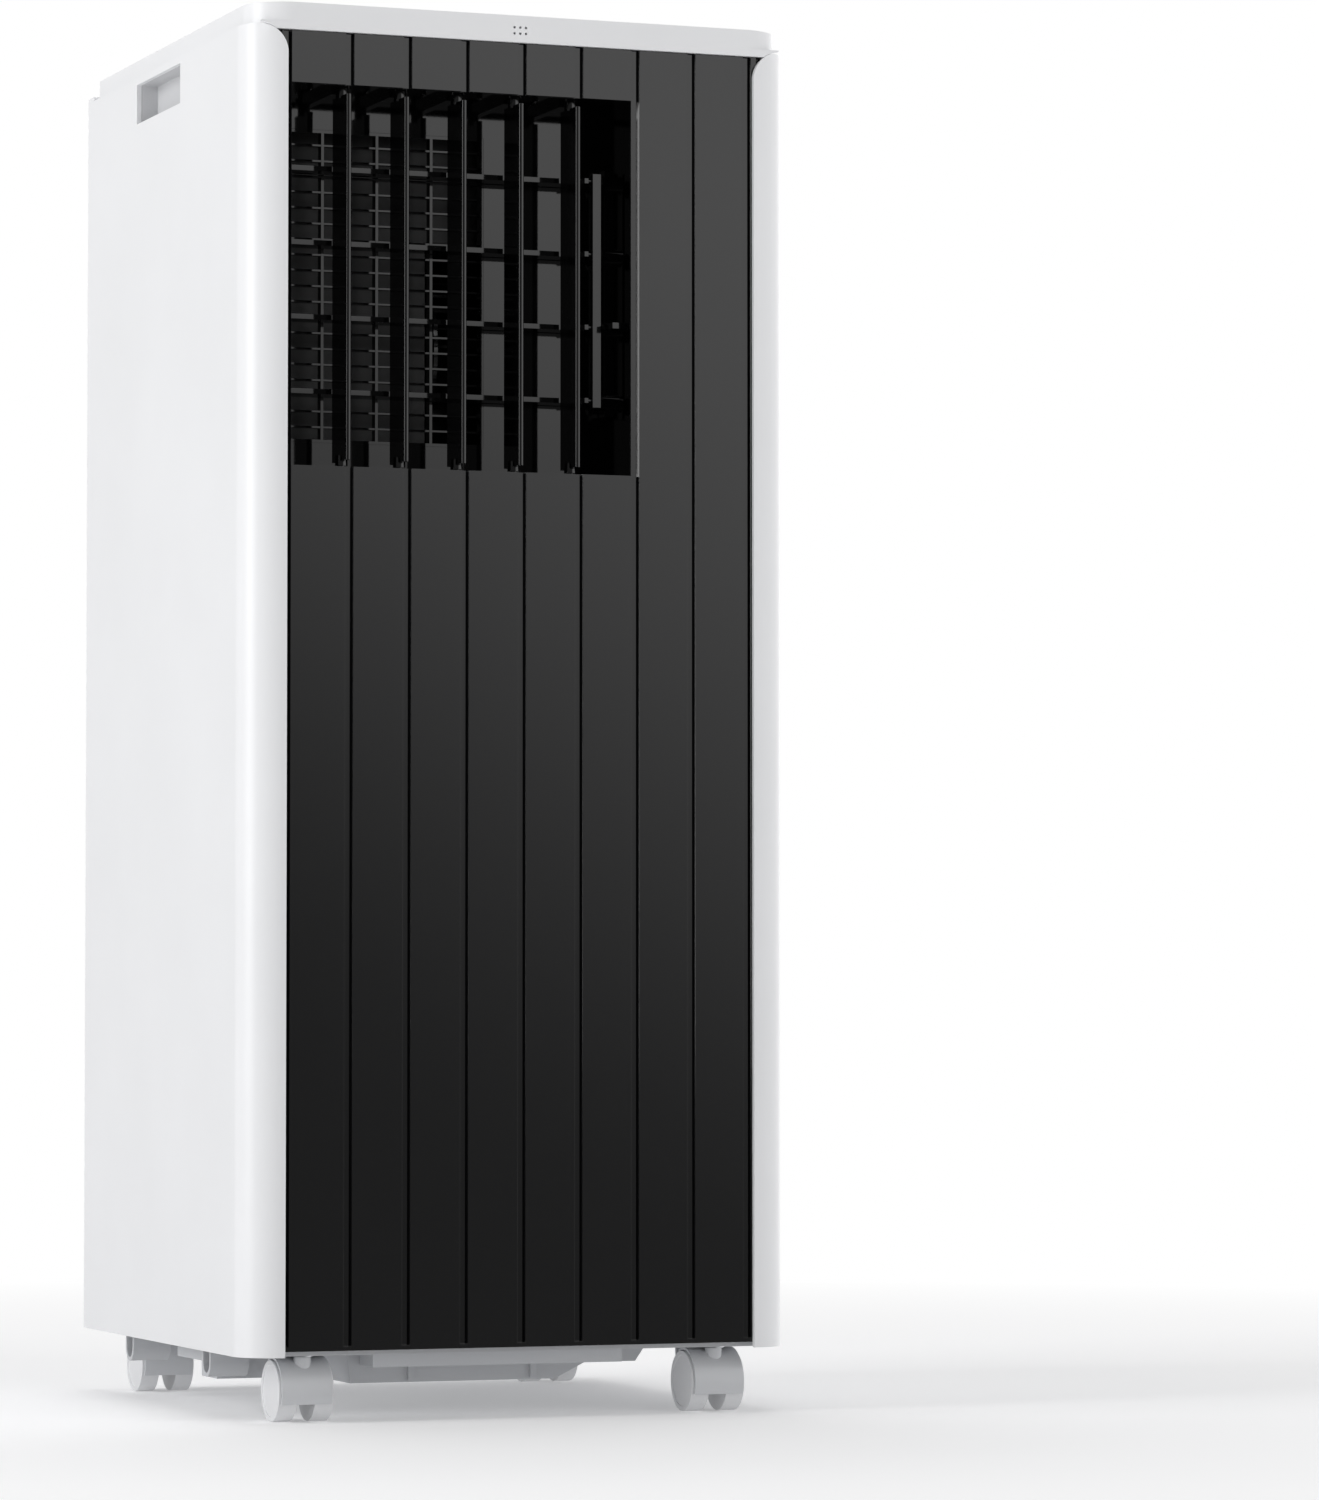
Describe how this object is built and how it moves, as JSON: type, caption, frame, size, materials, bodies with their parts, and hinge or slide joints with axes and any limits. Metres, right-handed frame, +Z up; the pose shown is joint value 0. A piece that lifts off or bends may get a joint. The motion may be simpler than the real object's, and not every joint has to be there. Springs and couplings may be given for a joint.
{
  "type": "portable air conditioner",
  "caption": "Tower-shaped portable air conditioner on swivel casters, with a grooved black front, louvred air outlet, rear intake and hose collar.",
  "frame": {"origin": "on the floor, under the centre of the body's box", "axes": "+Z up, the grooved front and its louvres face -Y, +X to the right of someone looking at the front"},
  "size_m": [0.285, 0.292, 0.6925],
  "materials": {
    "white_shell": "satin, fine moulded texture",
    "tray_plastic": "fine matt",
    "gloss_black": "gloss",
    "display": "smoked, gloss",
    "panel_black": "satin gloss",
    "housing_black": "satin",
    "link_plastic": "satin",
    "fan_plastic": "satin",
    "inner_plastic": "matt",
    "steel": "zinc plated",
    "fins": "mill finish",
    "painted_steel": "satin black paint",
    "rubber": "matt",
    "copper": "copper tube",
    "filter_plastic": "matt mesh",
    "collar_plastic": "satin",
    "box_plastic": "matt",
    "board": "solder resist",
    "cup_plastic": "matt",
    "button_white": "satin",
    "caster_plastic": "satin",
    "wheel_plastic": "satin"
  },
  "bodies": {
    "root": {"base_tray": "tray_plastic", "left_side_panel": "white_shell", "right_side_panel": "white_shell", "rear_cover": "white_shell", "top_cover": "white_shell", "control_panel": "gloss_black", "display_window": "display", "front_panel": "panel_black", "louver_housing": "housing_black", "outlet_grille": "gloss_black", "blade_bracket": "gloss_black", "blower_housing": "inner_plastic", "blower_motor": "steel", "evaporator": "fins", "condenser": "fins", "drip_tray": "inner_plastic", "condenser_fan_housing": "inner_plastic", "condenser_fan_motor": "steel", "compressor": "painted_steel", "compressor_grommets": "rubber", "refrigerant_pipes": "copper", "exhaust_collar": "collar_plastic", "cord_gland": "rubber", "electrical_box": "box_plastic", "control_board": "board", "handle_cups": "cup_plastic", "screws": "steel", "caster_stems": "steel"},
    "vane_1": {"vane_1": "gloss_black"},
    "vane_2": {"vane_2": "gloss_black"},
    "vane_3": {"vane_3": "gloss_black"},
    "vane_4": {"vane_4": "gloss_black"},
    "vane_5": {"vane_5": "gloss_black"},
    "vane_link": {"vane_link": "link_plastic"},
    "blade_1": {"blade_1": "gloss_black"},
    "blade_2": {"blade_2": "gloss_black"},
    "blade_3": {"blade_3": "gloss_black"},
    "blade_4": {"blade_4": "gloss_black"},
    "blade_link": {"blade_link": "link_plastic"},
    "button_power": {"button_power": "button_white"},
    "button_mode": {"button_mode": "button_white"},
    "button_up": {"button_up": "button_white"},
    "button_down": {"button_down": "button_white"},
    "button_fan": {"button_fan": "button_white"},
    "button_timer": {"button_timer": "button_white"},
    "blower_wheel": {"blower_wheel": "fan_plastic"},
    "condenser_fan_wheel": {"condenser_fan_wheel": "fan_plastic"},
    "intake_cover": {"intake_grille": "white_shell", "air_filter": "filter_plastic"},
    "drain_plug": {"drain_plug": "rubber"},
    "float": {"float": "inner_plastic"},
    "caster_hood_fl": {"caster_hood_fl": "caster_plastic"},
    "caster_wheels_fl": {"caster_wheels_fl": "wheel_plastic"},
    "caster_hood_fr": {"caster_hood_fr": "caster_plastic"},
    "caster_wheels_fr": {"caster_wheels_fr": "wheel_plastic"},
    "caster_hood_rl": {"caster_hood_rl": "caster_plastic"},
    "caster_wheels_rl": {"caster_wheels_rl": "wheel_plastic"},
    "caster_hood_rr": {"caster_hood_rr": "caster_plastic"},
    "caster_wheels_rr": {"caster_wheels_rr": "wheel_plastic"}
  },
  "joints": [
    {"name": "vane_1_turn", "type": "hinge", "parent": "root", "child": "vane_1", "pos_m": [-0.09, -0.13135, 0.56], "axis": [0, 0, 1], "range_deg": [-35, 35]},
    {"name": "vane_2_turn", "type": "hinge", "parent": "root", "child": "vane_2", "pos_m": [-0.06012, -0.13135, 0.56], "axis": [0, 0, 1], "range_deg": [-35, 35]},
    {"name": "vane_3_turn", "type": "hinge", "parent": "root", "child": "vane_3", "pos_m": [-0.03024, -0.13135, 0.56], "axis": [0, 0, 1], "range_deg": [-35, 35]},
    {"name": "vane_4_turn", "type": "hinge", "parent": "root", "child": "vane_4", "pos_m": [-0.00036, -0.13135, 0.56], "axis": [0, 0, 1], "range_deg": [-35, 35]},
    {"name": "vane_5_turn", "type": "hinge", "parent": "root", "child": "vane_5", "pos_m": [0.02952, -0.13135, 0.56], "axis": [0, 0, 1], "range_deg": [-35, 35]},
    {"name": "vane_link_pivot", "type": "hinge", "parent": "vane_1", "child": "vane_link", "pos_m": [-0.09, -0.11935, 0.662], "axis": [0, 0, 1], "range_deg": [-35, 35]},
    {"name": "blade_1_turn", "type": "hinge", "parent": "root", "child": "blade_1", "pos_m": [-0.04, -0.1089, 0.5052], "axis": [1, 0, 0], "range_deg": [-30, 30]},
    {"name": "blade_2_turn", "type": "hinge", "parent": "root", "child": "blade_2", "pos_m": [-0.04, -0.1089, 0.542], "axis": [1, 0, 0], "range_deg": [-30, 30]},
    {"name": "blade_3_turn", "type": "hinge", "parent": "root", "child": "blade_3", "pos_m": [-0.04, -0.1089, 0.5788], "axis": [1, 0, 0], "range_deg": [-30, 30]},
    {"name": "blade_4_turn", "type": "hinge", "parent": "root", "child": "blade_4", "pos_m": [-0.04, -0.1089, 0.6156], "axis": [1, 0, 0], "range_deg": [-30, 30]},
    {"name": "blade_link_pivot", "type": "hinge", "parent": "blade_1", "child": "blade_link", "pos_m": [0.04725, -0.1189, 0.5052], "axis": [1, 0, 0], "range_deg": [-30, 30]},
    {"name": "button_power_press", "type": "slide", "parent": "root", "child": "button_power", "axis": [0, 0, -1], "range_m": [0, 0.001], "stiffness_N_per_m": 400},
    {"name": "button_mode_press", "type": "slide", "parent": "root", "child": "button_mode", "axis": [0, 0, -1], "range_m": [0, 0.001], "stiffness_N_per_m": 400},
    {"name": "button_up_press", "type": "slide", "parent": "root", "child": "button_up", "axis": [0, 0, -1], "range_m": [0, 0.001], "stiffness_N_per_m": 400},
    {"name": "button_down_press", "type": "slide", "parent": "root", "child": "button_down", "axis": [0, 0, -1], "range_m": [0, 0.001], "stiffness_N_per_m": 400},
    {"name": "button_fan_press", "type": "slide", "parent": "root", "child": "button_fan", "axis": [0, 0, -1], "range_m": [0, 0.001], "stiffness_N_per_m": 400},
    {"name": "button_timer_press", "type": "slide", "parent": "root", "child": "button_timer", "axis": [0, 0, -1], "range_m": [0, 0.001], "stiffness_N_per_m": 400},
    {"name": "blower_spin", "type": "hinge", "parent": "root", "child": "blower_wheel", "pos_m": [0.016, -0.036, 0.532], "axis": [1, 0, 0], "continuous": true},
    {"name": "condenser_fan_spin", "type": "hinge", "parent": "root", "child": "condenser_fan_wheel", "pos_m": [0, 0.053, 0.33], "axis": [0, 1, 0], "continuous": true},
    {"name": "intake_cover_pull", "type": "slide", "parent": "root", "child": "intake_cover", "axis": [0, 1, 0], "range_m": [0, 0.06]},
    {"name": "drain_plug_pull", "type": "slide", "parent": "root", "child": "drain_plug", "axis": [0, 1, 0], "range_m": [0, 0.025]},
    {"name": "float_lift", "type": "hinge", "parent": "root", "child": "float", "pos_m": [-0.02, -0.086, 0.029], "axis": [1, 0, 0], "range_deg": [0, 12]},
    {"name": "caster_fl_swivel", "type": "hinge", "parent": "root", "child": "caster_hood_fl", "pos_m": [-0.1075, -0.127, 0.025], "axis": [0, 0, 1], "continuous": true},
    {"name": "caster_fl_roll", "type": "hinge", "parent": "caster_hood_fl", "child": "caster_wheels_fl", "pos_m": [-0.1075, -0.119, 0.015], "axis": [1, 0, 0], "continuous": true},
    {"name": "caster_fr_swivel", "type": "hinge", "parent": "root", "child": "caster_hood_fr", "pos_m": [0.1075, -0.127, 0.025], "axis": [0, 0, 1], "continuous": true},
    {"name": "caster_fr_roll", "type": "hinge", "parent": "caster_hood_fr", "child": "caster_wheels_fr", "pos_m": [0.1075, -0.119, 0.015], "axis": [1, 0, 0], "continuous": true},
    {"name": "caster_rl_swivel", "type": "hinge", "parent": "root", "child": "caster_hood_rl", "pos_m": [-0.1075, 0.114, 0.025], "axis": [0, 0, 1], "continuous": true},
    {"name": "caster_rl_roll", "type": "hinge", "parent": "caster_hood_rl", "child": "caster_wheels_rl", "pos_m": [-0.1075, 0.122, 0.015], "axis": [1, 0, 0], "continuous": true},
    {"name": "caster_rr_swivel", "type": "hinge", "parent": "root", "child": "caster_hood_rr", "pos_m": [0.1075, 0.114, 0.025], "axis": [0, 0, 1], "continuous": true},
    {"name": "caster_rr_roll", "type": "hinge", "parent": "caster_hood_rr", "child": "caster_wheels_rr", "pos_m": [0.1075, 0.122, 0.015], "axis": [1, 0, 0], "continuous": true}
  ],
  "couplings": [
    {"joint": "vane_2_turn", "follows": "vane_1_turn", "ratio": 1},
    {"joint": "vane_3_turn", "follows": "vane_1_turn", "ratio": 1},
    {"joint": "vane_4_turn", "follows": "vane_1_turn", "ratio": 1},
    {"joint": "vane_5_turn", "follows": "vane_1_turn", "ratio": 1},
    {"joint": "vane_link_pivot", "follows": "vane_1_turn", "ratio": -1},
    {"joint": "blade_2_turn", "follows": "blade_1_turn", "ratio": 1},
    {"joint": "blade_3_turn", "follows": "blade_1_turn", "ratio": 1},
    {"joint": "blade_4_turn", "follows": "blade_1_turn", "ratio": 1},
    {"joint": "blade_link_pivot", "follows": "blade_1_turn", "ratio": -1}
  ]
}
